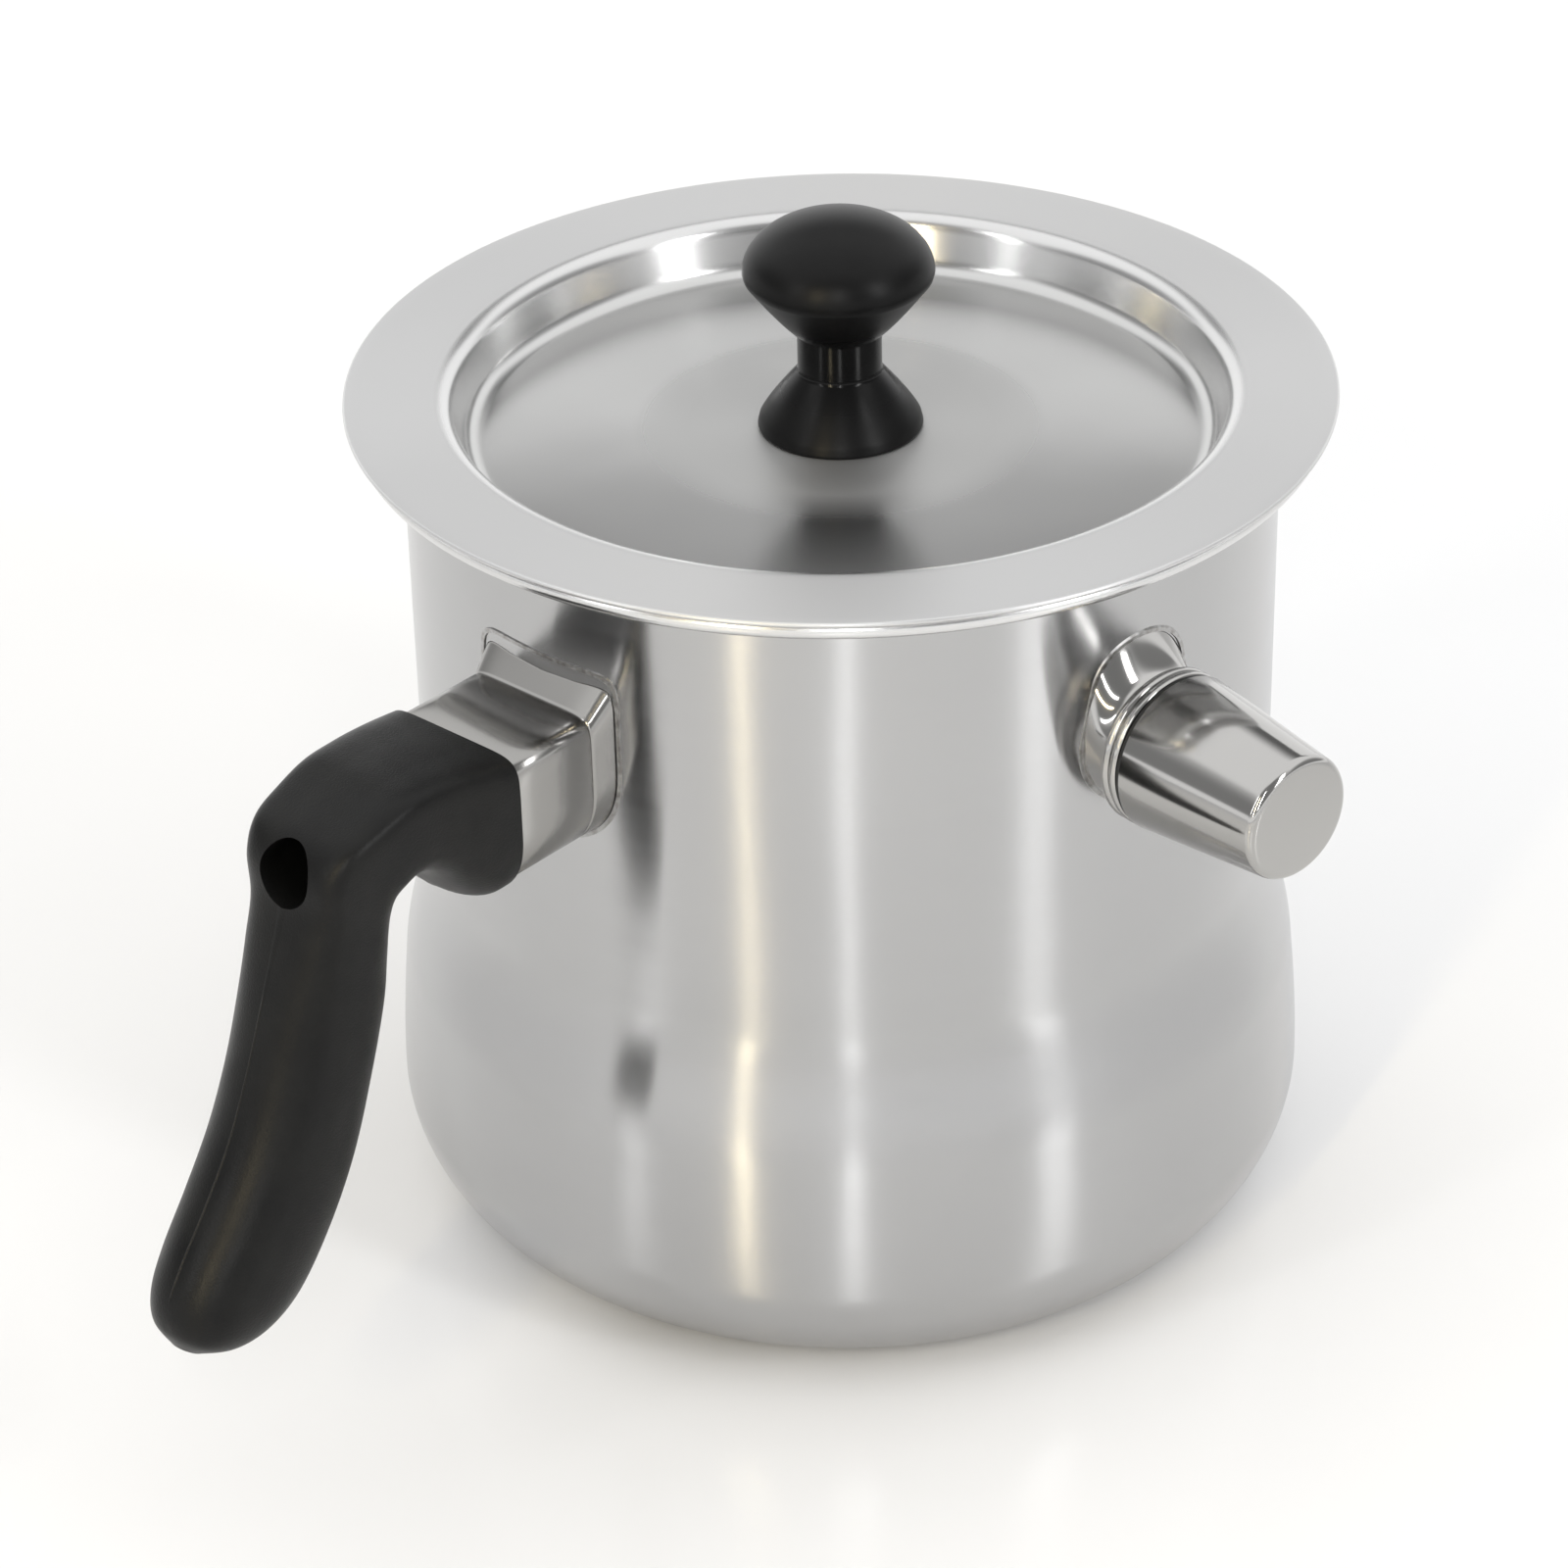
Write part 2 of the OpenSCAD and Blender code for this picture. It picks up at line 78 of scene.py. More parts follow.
# Knob: radii, and heights above the dish
KNOB_R = 17.4
KNOB_NECK_R = 7.7
KNOB_FOOT_R = 15.1
KNOB_H = 41.0
KNOB_EDGE = 0.5
KNOB_FOOT_H = 1.1
KNOB_FOOT_TOP = 11.3
KNOB_FOOT_POWER = 0.85
KNOB_UNDER = 18.6
KNOB_UNDER_POWER = 1.15
KNOB_UNDER_INSET = 0.3
KNOB_BRIM = 29.6
KNOB_BRIM_H = 1.0
M5_CLEAR_R = 2.75

# Spout and whistle cap
SPOUT_AZIMUTH = 180 + 81
SPOUT_Z = 127.2
BORE_R = 11.2
SPOUT_NECK_R = 12.6
GROOVE_BEAD_R = 1.0
GROOVE_BEAD_BACK = 2.9
GROOVE_BEAD_OUT = 0.9
LIP_BEAD_R = 0.9
LIP_BEAD_OUT = 1.0
LIP_CHAMFER = 0.3
SPIGOT_LEN = 2.6
SPOUT_NECK_D = 84.6
SPOUT_BOSS_RISE = 7.0
BOSS_RISE_POWER = 1.7
BOSS_SQUARENESS = 0.12
WALL_BITE = 0.04
LIP_D = 89.0
CAP_MOUTH_D = 90.1
CAP_MOUTH_R = 14.5
CAP_END_R = 11.6
CAP_LEN = 29.9
CAP_T = 0.7
CAP_EDGE_R = 1.8
CAP_CROWN = 0.4
CAP_CROWN_PART = 0.9
CAP_SLACK = 0.01
STEAM_HOLE_R = 1.5

# Handle
COLLAR_D = 102.5
BRACKET_D = 83.5
BRACKET_FLARE_W = 1.2
BRACKET_FLARE_TOP = 6.0
BRACKET_FLARE_LOW = 0.3
BRACKET_FLARE_LEN = 6.5
FERRULE_HALF_W = 14.6
FERRULE_TOP_Z = 137.6
FERRULE_LOW_Z = 109.2
TOP_SQUARENESS = 9
LOW_SQUARENESS = 2.4

# Rounded edges of the bracket and the ferrule where they meet: (inset, distance from there)
BRACKET_EDGE = ((0.5, 0), (0.12, 0.12), (0, 0.4))
FERRULE_EDGE = ((0.6, 0), (0.15, 0.15), (0, 0.45))
COLLAR_CHAMFER = 0.4

# Screw and grip
SCREW_Z = 129.5
GRIP_HOLE_R = 5.7
GRIP_HOLE_FLOOR_D = 112.0
GRIP_HOLE_END_D = 170.0
GRIP_REACH = 178.38
GRIP_RIDGE = 0.14
GRIP_RIDGE_FROM = 3
GRIP_RIDGE_SHORT = 16

# Grip stations from the ferrule to the tip: outer edge (distance, height), inner edge
# (distance, height), half width, squareness of the outer and of the inner side
GRIP = [
    (102.5, 138.6, 102.5, 108.6, 15.7, 8.0, 2.3),
    (105.5, 139.0, 105.8, 108.8, 15.6, 8.0, 2.3),
    (109.5, 139.6, 110.5, 112.0, 15.1, 8.0, 2.4),
    (114.0, 140.1, 115.5, 118.0, 14.4, 8.0, 2.6),
    (119.0, 140.4, 119.6, 121.2, 13.8, 8.0, 2.6),
    (125.8, 140.2, 122.8, 121.6, 13.4, 8.0, 2.6),
    (132.4, 138.4, 124.6, 120.4, 13.0, 8.0, 2.5),
    (139.2, 135.8, 125.6, 118.8, 12.5, 7.0, 2.4),
    (143.2, 130.9, 126.0, 116.4, 11.9, 5.0, 2.4),
    (144.6, 123.6, 126.2, 113.2, 11.5, 3.4, 2.3),
    (147.4, 116.0, 126.4, 109.0, 11.6, 2.8, 2.2),
    (151.0, 107.0, 127.6, 100.6, 11.7, 2.4, 2.2),
    (155.6, 95.5, 131.6, 87.6, 11.7, 2.2, 2.2),
    (160.9, 84.4, 137.0, 73.8, 11.8, 2.2, 2.2),
    (167.4, 74.6, 143.8, 62.2, 11.8, 2.2, 2.2),
    (173.6, 66.4, 151.8, 52.4, 11.4, 2.2, 2.2),
    (177.4, 60.0, 159.2, 48.0, 10.1, 2.2, 2.2),
    (178.4, 54.6, 166.2, 46.9, 7.4, 2.2, 2.2),
    (176.6, 50.2, 172.2, 47.8, 3.0, 2.0, 2.0),
]


# ---------------------------------------------------------------------------
# Outlines
# ---------------------------------------------------------------------------
def arc(cx, cy, r, a0, a1, steps):
    """Points along an arc, angles in degrees."""
    angles = [math.radians(a0 + (a1 - a0) * i / steps) for i in range(steps + 1)]
    return [(cx + r * math.cos(a), cy + r * math.sin(a)) for a in angles]


def offset_path(path, t):
    """The path moved by t to its left."""
    moved = []
    for i, (x, y) in enumerate(path):
        ax, ay = path[max(i - 1, 0)]
        bx, by = path[min(i + 1, len(path) - 1)]
        run = math.hypot(bx - ax, by - ay)
        moved.append((x - t * (by - ay) / run, y + t * (bx - ax) / run))
    return moved


def band(path, t):
    """Closed outline of a sheet of thickness t to the left of the path."""
    return path + offset_path(path, t)[::-1]


def hermite(p0, m0, p1, m1, t):
    return (
        (2 * t**3 - 3 * t**2 + 1) * p0
        + (t**3 - 2 * t**2 + t) * m0
        + (3 * t**2 - 2 * t**3) * p1
        + (t**3 - t**2) * m1
    )


def signed_pow(v, e):
    return math.copysign(abs(v) ** e, v)


def line(a, b, steps):
    """Points from a to b, without a itself."""
    return [
        (a[0] + (b[0] - a[0]) * i / steps, a[1] + (b[1] - a[1]) * i / steps)
        for i in range(1, steps + 1)
    ]


# ---------------------------------------------------------------------------
# Meshes
# ---------------------------------------------------------------------------
def finish_mesh(name, verts, faces, place=None, sharp=40):
    """A smooth-shaded object from millimetre points, its edges sharper than the angle kept crisp."""
    mesh = bpy.data.meshes.new(name)
    place = place or Matrix.Identity(4)
    mesh.from_pydata([place @ (Vector(v) * MM) for v in verts], [], faces)
    mesh.validate()
    mesh.update()
    obj = bpy.data.objects.new(name, mesh)
    bpy.context.scene.collection.objects.link(obj)
    outward(obj)
    mesh.shade_smooth()
    mesh.set_sharp_from_angle(angle=math.radians(sharp))
    return obj


def outward(obj):
    """Turns every face of a closed mesh outwards."""
    bm = bmesh.new()
    bm.from_mesh(obj.data)
    bmesh.ops.remove_doubles(bm, verts=bm.verts, dist=1e-7)
    bmesh.ops.recalc_face_normals(bm, faces=bm.faces)
    bm.to_mesh(obj.data)
    bm.free()


def lathe(name, outline, segments=256, place=None, sharp=40):
    """Turns a closed outline of (radius, height) points round the local Z axis."""
    verts = []
    rings = []
    for r, z in outline:
        if r < 1e-6:
            rings.append([len(verts)] * segments)
            verts.append((0, 0, z))
            continue
        rings.append(list(range(len(verts), len(verts) + segments)))
        for k in range(segments):
            a = 2 * math.pi * k / segments
            verts.append((r * math.cos(a), r * math.sin(a), z))
    faces = []
    for a, b in zip(rings, rings[1:] + rings[:1]):
        if a[0] == a[1] and b[0] == b[1]:
            continue
        for k in range(segments):
            n = (k + 1) % segments
            face = [a[k], a[n], b[n], b[k]]
            faces.append([v for i, v in enumerate(face) if v != face[i - 1]])
    return finish_mesh(name, verts, faces, place, sharp)


def rod(name, r, from_z, to_z, segments, place):
    """A plain cylinder to cut with."""
    return lathe(name, [(0, from_z), (r, from_z), (r, to_z), (0, to_z)], segments, place)


def loft(name, rings, place=None, sharp=40):
    """Joins closed rings of equal length, and closes both ends with a flat face."""
    count = len(rings[0])
    verts = [v for ring in rings for v in ring]
    faces = []
    for j in range(len(rings) - 1):
        for k in range(count):
            n = (k + 1) % count
            a = j * count
            b = a + count
            faces.append((a + k, a + n, b + n, b + k))
    faces.append(tuple(range(count)))
    faces.append(tuple(range((len(rings) - 1) * count, len(rings) * count)))
    return finish_mesh(name, verts, faces, place, sharp)


def cut(obj, cutter, sharp=40):
    """Cuts one closed mesh out of another and drops the cutter."""
    mod = obj.modifiers.new("cut", "BOOLEAN")
    mod.operation = "DIFFERENCE"
    mod.solver = "EXACT"
    mod.object = cutter
    graph = bpy.context.evaluated_depsgraph_get()
    mesh = bpy.data.meshes.new_from_object(obj.evaluated_get(graph))
    obj.modifiers.clear()
    old = obj.data
    obj.data = mesh
    bpy.data.meshes.remove(old)
    bpy.data.objects.remove(cutter)
    mesh.shade_smooth()
    mesh.set_sharp_from_angle(angle=math.radians(sharp))


def along_axis(azimuth, height):
    """Places local +Z along the horizontal direction of the azimuth, at a height in millimetres."""
    turn = Matrix.Rotation(math.radians(azimuth), 4, "Z")
    tip = Matrix.Rotation(math.radians(90), 4, "Y")
    return Matrix.Translation((0, 0, height * MM)) @ turn @ tip


SPOUT_PLACE = along_axis(SPOUT_AZIMUTH, SPOUT_Z)


def shield(half_w, low, top, n_top, n_low, count=128):
    """Outline with a squarer upper half and a rounder lower half: (sideways, height) points."""
    mid = (low + top) / 2
    half_h = (top - low) / 2
    points = []
    for k in range(count):
        a = 2 * math.pi * k / count
        n = n_top if math.sin(a) > 0 else n_low
        height = mid + half_h * signed_pow(math.sin(a), 2 / n)
        points.append((half_w * signed_pow(math.cos(a), 2 / n), height))
    return points


# ---------------------------------------------------------------------------
# Pieces
# ---------------------------------------------------------------------------
def jacket_outline():
    span = (SHOULDER_Z - BELLY_Z) / 2
    mid_r = BELLY_R - FLARE_MID_PART * (BELLY_R - WALL_R)
    lean = FLARE_LEAN * span
    corner_steps = 48
    flare_steps = 24
    path = [(0, 0)] + line((0, 0), (BASE_R, 0), 12)
    for i in range(1, corner_steps + 1):
        a = math.radians(90 * i / corner_steps)
        path.append((
            BASE_R + (BELLY_R - BASE_R) * math.sin(a) ** (2 / BELLY_POWER),
            BELLY_Z * (1 - max(math.cos(a), 0) ** (2 / BELLY_POWER)),
        ))
    for i in range(1, flare_steps + 1):
        t = i / flare_steps
        path.append((hermite(BELLY_R, 0, mid_r, -lean, t), BELLY_Z + span * t))
    for i in range(1, flare_steps + 1):
        t = i / flare_steps
        path.append((hermite(mid_r, -lean, WALL_R, 0, t), BELLY_Z + span * (1 + t)))
    return path + line((WALL_R, SHOULDER_Z), (WALL_R, RIM_Z - SHEET), 20)


def make_jacket():
    obj = lathe("pot_outer_wall", band(jacket_outline(), SHEET))
    cut(obj, rod("spout_hole", BORE_R + SHEET, WALL_R - 20, WALL_R + 20, 96, SPOUT_PLACE))
    return obj


def make_liner():
    corner_r = LINER_R - LINER_CORNER_R
    corner_z = LINER_FLOOR_Z + LINER_CORNER_R
    path = [(0, LINER_FLOOR_Z)] + line((0, LINER_FLOOR_Z), (corner_r - 1, LINER_FLOOR_Z), 8)
    path += arc(corner_r, corner_z, LINER_CORNER_R, -90, 0, 24)
    path += line((LINER_R, corner_z), (LINER_R, RIM_Z - MOUTH_BEND_R - 1), 12)
    path += arc(LINER_R + MOUTH_BEND_R, RIM_Z - MOUTH_BEND_R, MOUTH_BEND_R, 180, 90, 20)
    path += line((LINER_R + MOUTH_BEND_R, RIM_Z), (RIM_R - CURL_R - 1, RIM_Z), 4)
    path += arc(RIM_R - CURL_R, RIM_Z - CURL_R, CURL_R, 90, 90 - CURL_TURN, 32)
    return lathe("pot_liner", band(path, -SHEET))


def make_lid():
    slope = math.radians(DISH_SLOPE)
    foot_r = (
        LID_CREST_R - 2 * DISH_BEND_R * math.sin(slope)
        - (LID_DISH - 2 * DISH_BEND_R * (1 - math.cos(slope))) / math.tan(slope)
    )
    edge_r = LID_T / 2
    foot = arc(foot_r, DISH_Z + DISH_BEND_R - DISH_SAG, DISH_BEND_R, -90, DISH_SLOPE - 90, 24)
    crest = arc(LID_CREST_R, LID_Z - DISH_BEND_R, DISH_BEND_R, 90 + DISH_SLOPE, 90, 24)
    disc_steps = 40
    top = []
    for i in range(disc_steps + 1):
        r = M5_CLEAR_R + (foot_r - 0.5 - M5_CLEAR_R) * i / disc_steps
        part = max(r - KNOB_FOOT_R, 0) / (foot_r - KNOB_FOOT_R)
        top.append((r, DISH_Z - DISH_SAG * part**2))
    top += foot + line(foot[-1], crest[0], 8)[:-1] + crest
    top += line((LID_CREST_R + 0.5, LID_Z), (LID_R - edge_r, LID_Z), 8)
    edge = arc(LID_R - edge_r, LID_Z - edge_r, edge_r, 80, -80, 10)
    return lathe("lid", top + edge + offset_path(top, -LID_T)[::-1])


def make_knob():
    neck_z = DISH_Z + KNOB_FOOT_TOP
    under_z = DISH_Z + KNOB_UNDER
    brim_z = DISH_Z + KNOB_BRIM
    foot_z = DISH_Z + KNOB_FOOT_H
    dome_h = DISH_Z + KNOB_H - brim_z - KNOB_BRIM_H
    curve_steps = 24
    dome_steps = 48
    outline = [(0, DISH_Z), (4, DISH_Z), (KNOB_FOOT_R - 0.6, DISH_Z)]
    outline += arc(KNOB_FOOT_R - KNOB_EDGE, DISH_Z + KNOB_EDGE, KNOB_EDGE, -80, 30, 8)
    for i in range(1, curve_steps + 1):
        t = i / curve_steps
        outline.append((
            KNOB_FOOT_R - (KNOB_FOOT_R - KNOB_NECK_R) * t,
            foot_z + (neck_z - foot_z) * t**KNOB_FOOT_POWER,
        ))
    outline += line((KNOB_NECK_R, neck_z), (KNOB_NECK_R, under_z), 8)
    for i in range(1, curve_steps + 1):
        t = i / curve_steps
        outline.append((
            KNOB_NECK_R + (KNOB_R - KNOB_UNDER_INSET - KNOB_NECK_R) * t,
            under_z + (brim_z - under_z) * t**KNOB_UNDER_POWER,
        ))
    for i in range(dome_steps + 1):
        a = math.radians(90 * i / dome_steps)
        outline.append((
            max(KNOB_R * math.cos(a), 0),
            brim_z + KNOB_BRIM_H + dome_h * math.sin(a),
        ))
    return lathe("lid_knob_body", outline, 160, sharp=50)


def wall_reach(sideways):
    """Distance out to the round wall, at a distance sideways from the spout's or handle's axis."""
    return math.sqrt(WALL_R**2 - sideways**2)


def boss_ring(t, count):
    """Outline of the boss a part t of the way from the neck to the wall: (up, sideways) points."""
    rise = SPOUT_BOSS_RISE * t**BOSS_RISE_POWER
    points = []
    for k in range(count):
        a = 2 * math.pi * k / count
        up, side = math.cos(a), math.sin(a)
        if up > 0:
            reach = SPOUT_NECK_R + rise
            power = 1 - BOSS_SQUARENESS * t
            points.append((reach * up, SPOUT_NECK_R * signed_pow(side, power)))
        else:
            points.append((SPOUT_NECK_R * up, SPOUT_NECK_R * side))
    return points


def make_spout():
    """Boss drawn up the wall, straight neck, two rolled beads and the spigot inside."""
    count = 192
    steps = 28
    spigot_d = WALL_R - SPIGOT_LEN
    profile = [(BORE_R, spigot_d), (BORE_R, LIP_D - LIP_CHAMFER), (BORE_R + LIP_CHAMFER, LIP_D)]
    profile += arc(SPOUT_NECK_R + LIP_BEAD_OUT, LIP_D - LIP_BEAD_R, LIP_BEAD_R, 90, -80, 14)
    profile += arc(
        SPOUT_NECK_R + GROOVE_BEAD_OUT, LIP_D - GROOVE_BEAD_BACK, GROOVE_BEAD_R, 80, -80, 14)
    turns = [2 * math.pi * k / count for k in range(count)]
    rings = [[(-r * math.cos(a), r * math.sin(a), d) for a in turns] for r, d in profile]
    for i in range(steps + 1):
        t = i / steps
        ring = []
        for up, side in boss_ring(t, count):
            wall_d = wall_reach(side) - WALL_BITE
            ring.append((-up, side, SPOUT_NECK_D + (wall_d - SPOUT_NECK_D) * t))
        rings.append(ring)
    inner_r = BORE_R + SHEET
    inner = []
    for a in turns:
        side = inner_r * math.sin(a)
        inner.append((-inner_r * math.cos(a), side, wall_reach(side) - 0.2))
    rings.append(inner)
    rings.append([(x, y, spigot_d) for x, y, _ in inner])
    verts = [v for ring in rings for v in ring]
    faces = []
    for j in range(len(rings)):
        a = j * count
        b = (j + 1) % len(rings) * count
        for k in range(count):
            n = (k + 1) % count
            faces.append((a + k, a + n, b + n, b + k))
    return finish_mesh("spout", verts, faces, SPOUT_PLACE, sharp=50)


def make_cap():
    end_d = CAP_MOUTH_D + CAP_LEN - CAP_SLACK
    mouth = (CAP_MOUTH_R, CAP_MOUTH_D)
    crown_steps = 12
    flat_r = CAP_END_R - CAP_EDGE_R
    taper = math.degrees(math.atan((CAP_MOUTH_R - CAP_END_R) / CAP_LEN))
    corner = arc(flat_r, end_d - CAP_CROWN - CAP_EDGE_R, CAP_EDGE_R, taper, 86, 20)
    path = [mouth] + line(mouth, corner[0], 24)[:-1] + corner
    for i in range(1, crown_steps + 1):
        t = 1 - i / crown_steps
        path.append((flat_r * t, end_d - CAP_CROWN * t * t * CAP_CROWN_PART))
    obj = lathe("whistle_cap_shell", band(path, CAP_T), 192, SPOUT_PLACE)
    drill = Matrix.Translation(SPOUT_PLACE @ Vector((0, 0, (CAP_MOUTH_D + end_d) / 2 * MM)))
    cut(obj, rod("steam_hole", STEAM_HOLE_R, -2 * CAP_MOUTH_R, 0, 48, drill))
    return obj


def handle_point(d, sideways, height):
    return (-d, sideways, height)


def ferrule_outline(inset=0.0):
    return shield(
        FERRULE_HALF_W - inset, FERRULE_LOW_Z + inset, FERRULE_TOP_Z - inset,
        TOP_SQUARENESS, LOW_SQUARENESS)


def ferrule_rings(stations):
    """Rings across the handle, one for each (inset, distance)."""
    return [[handle_point(d, s, h) for s, h in ferrule_outline(inset)] for inset, d in stations]


def make_bracket():
    """Spreads from the ferrule's outline onto the round wall."""
    steps = 16
    rings = ferrule_rings([(inset, BRACKET_D - back) for inset, back in BRACKET_EDGE])
    start_d = BRACKET_D - BRACKET_EDGE[-1][1]
    near = ferrule_outline()
    far = shield(
        FERRULE_HALF_W + BRACKET_FLARE_W,
        FERRULE_LOW_Z - BRACKET_FLARE_LOW,
        FERRULE_TOP_Z + BRACKET_FLARE_TOP, TOP_SQUARENESS, LOW_SQUARENESS)
    for i in range(1, steps + 1):
        ring = []
        for (s0, h0), (s1, h1) in zip(near, far):
            # How wide the flare gets depends on where it meets the wall, and the other way round
            part = 0.6
            for _ in range(6):
                wall_d = wall_reach(s0 + (s1 - s0) * part)
                part = (BRACKET_D - wall_d) / BRACKET_FLARE_LEN
            reach = part * i / steps
            ring.append(handle_point(
                start_d - (start_d - wall_d) * i / steps,
                s0 + (s1 - s0) * reach,
                h0 + (h1 - h0) * reach,
            ))
        rings.append(ring)
    rings.append([(x + 0.3, y * 0.99, z) for x, y, z in rings[-1]])
    return loft("bracket", rings, sharp=60)


def make_ferrule():
    stations = [(inset, BRACKET_D + on) for inset, on in FERRULE_EDGE]
    stations += [(0, COLLAR_D - COLLAR_CHAMFER), (COLLAR_CHAMFER, COLLAR_D)]
    return loft("ferrule", ferrule_rings(stations), sharp=60)


def spline(a, b, c, d, t):
    """Catmull-Rom curve from b to c."""
    return [
        0.5 * (
            2 * q + (r - p) * t
            + (2 * p - 5 * q + 4 * r - s) * t**2
            + (3 * q - p - 3 * r + s) * t**3
        )
        for p, q, r, s in zip(a, b, c, d)
    ]


def make_grip():
    """Lofted along its stations, with a fine mould ridge down both edges and the screw hole."""
    steps = 8
    sides = 112
    ridge_angles = (90, 270)
    seam = [edge + turn for edge in ridge_angles for turn in (-1.2, -0.6, 0, 0.6, 1.2)]
    angles = sorted(set([360 * k / sides for k in range(sides)] + seam))
    last = len(GRIP) - 1
    rings = []
    for j in range(last * steps + 1):
        i = min(j // steps, last - 1)
        t = j / steps - i
        g = spline(GRIP[max(i - 1, 0)], GRIP[i], GRIP[i + 1], GRIP[min(i + 2, last)], t)
        outer_d, outer_h, inner_d, inner_h, half_w, n_outer, n_inner = g
        mid_d = (outer_d + inner_d) / 2
        mid_h = (outer_h + inner_h) / 2
        half = math.hypot(outer_d - inner_d, outer_h - inner_h) / 2
        ridged = GRIP_RIDGE_FROM <= j < last * steps - GRIP_RIDGE_SHORT
        ring = []
        for angle in angles:
            a = math.radians(angle)
            n = n_outer if math.sin(a) > 0 else n_inner
            lift = signed_pow(math.sin(a), 2 / n)
            sideways = half_w * signed_pow(math.cos(a), 2 / n)
            if angle in ridge_angles:
                sideways = 0
                if ridged:
                    lift *= 1 + GRIP_RIDGE / half
            ring.append(handle_point(
                min(mid_d + lift * (outer_d - inner_d) / 2, GRIP_REACH),
                sideways,
                mid_h + lift * (outer_h - inner_h) / 2,
            ))
        rings.append(ring)
    obj = loft("grip", rings, sharp=60)
    place = along_axis(180, SCREW_Z)
    hole = rod("screw_hole", GRIP_HOLE_R, GRIP_HOLE_FLOOR_D, GRIP_HOLE_END_D, 64, place)
    cut(obj, hole, sharp=50)
    return obj


# ---------------------------------------------------------------------------
# Materials
# ---------------------------------------------------------------------------
KNOB_ROUGH = 0.36
KNOB_NECK_ROUGH = 0.14
KNOB_NECK_START_Z = (0.162, 0.168)
KNOB_NECK_END_Z = (0.176, 0.180)
LID_MIDDLE_ROUGH = 0.45
LID_DISH_ROUGH = 0.23
LID_FLANGE_ROUGH = 0.42
LID_MIDDLE_EDGE_R = (0.028, 0.038)
# Radii across which the lid's colour goes from the darker dish to the lighter flange: a painted
# reflection
LID_PAINTED_LIGHT_R = (0.066, 0.074)
LID_FLANGE_EDGE_R = (0.0722, 0.0745)
WALL_SMEAR = 0.9
LID_SMEAR = 0.6


class Nodes:
    """Short calls for building one material's node tree."""

    def __init__(self, name, metallic=0.0):
        self.mat = bpy.data.materials.new(name)
        self.mat.use_nodes = True
        self.tree = self.mat.node_tree
        self.shader = self.tree.nodes["Principled BSDF"]
        self.shader.inputs["Metallic"].default_value = metallic

    def add(self, kind, **values):
        node = self.tree.nodes.new(kind)
        for key, value in values.items():
            setattr(node, key, value)
        return node

    def link(self, a, b):
        self.tree.links.new(a, b)

    def noise(self, scale, stretch=(1, 1, 1), detail=3.0, rough=0.55):
        """Noise in object space, in cycles a metre, squeezed along each axis by stretch."""
        mapping = self.add("ShaderNodeMapping")
        mapping.inputs["Scale"].default_value = stretch
        self.link(self.place(), mapping.inputs["Vector"])
        noise = self.add("ShaderNodeTexNoise")
        noise.inputs["Scale"].default_value = scale
        noise.inputs["Detail"].default_value = detail
        noise.inputs["Roughness"].default_value = rough
        self.link(mapping.outputs["Vector"], noise.inputs["Vector"])
        return noise.outputs["Fac"]

    def ramp(self, fac, low, high, start=0.35, end=0.65):
        """Maps a noise value to a range of numbers."""
        node = self.add("ShaderNodeMapRange")
        node.inputs["From Min"].default_value = start
        node.inputs["From Max"].default_value = end
        node.inputs["To Min"].default_value = low
        node.inputs["To Max"].default_value = high
        self.link(fac, node.inputs["Value"])
        return node.outputs["Result"]

    def colour(self, fac, dark, light, start=0.35, end=0.65):
        node = self.add("ShaderNodeMix", data_type="RGBA")
        node.inputs["A"].default_value = (*dark, 1)
        node.inputs["B"].default_value = (*light, 1)
        self.link(self.ramp(fac, 0, 1, start, end), node.inputs["Factor"])
        self.link(node.outputs["Result"], self.shader.inputs["Base Color"])

    def roughness(self, value):
        self.link(value, self.shader.inputs["Roughness"])

    def bump(self, fac, distance, strength=1.0, under=None):
        node = self.add("ShaderNodeBump")
        node.inputs["Distance"].default_value = distance
        node.inputs["Strength"].default_value = strength
        self.link(fac, node.inputs["Height"])
        if under is not None:
            self.link(under, node.inputs["Normal"])
        return node.outputs["Normal"]

    def normal(self, value):
        self.link(value, self.shader.inputs["Normal"])

    def place(self):
        """The point's place in object space, in metres."""
        return self.add("ShaderNodeTexCoord").outputs["Object"]

    def total(self, a, b):
        node = self.add("ShaderNodeMath", operation="ADD")
        self.link(a, node.inputs[0])
        self.link(b, node.inputs[1])
        return node.outputs["Value"]

    def turned(self, smear):
        """Polishing lines round the Z axis, which smear what is mirrored across themselves."""
        self.shader.inputs["Anisotropic"].default_value = smear
        self.shader.inputs["Anisotropic Rotation"].default_value = 0.25
        around = self.add("ShaderNodeTangent", direction_type="RADIAL", axis="Z")
        self.link(around.outputs["Tangent"], self.shader.inputs["Tangent"])


def polished_steel(name, grey, rough, turned):
    """Polished sheet. A turned wall smears what it mirrors up and down, and keeps it sharp
    sideways."""
    n = Nodes(name, metallic=1.0)
    n.colour(n.noise(14), [g * 0.97 for g in grey], grey)
    fine = n.noise(40, (1, 1, 6) if turned else (4, 4, 4), 3.0)
    n.roughness(n.ramp(fine, rough, rough * 1.12, 0.4, 0.7))
    n.normal(n.bump(n.noise(16, (1, 1, 0.6), 1.5), 0.0006))
    if turned:
        n.turned(WALL_SMEAR)
    return n.mat


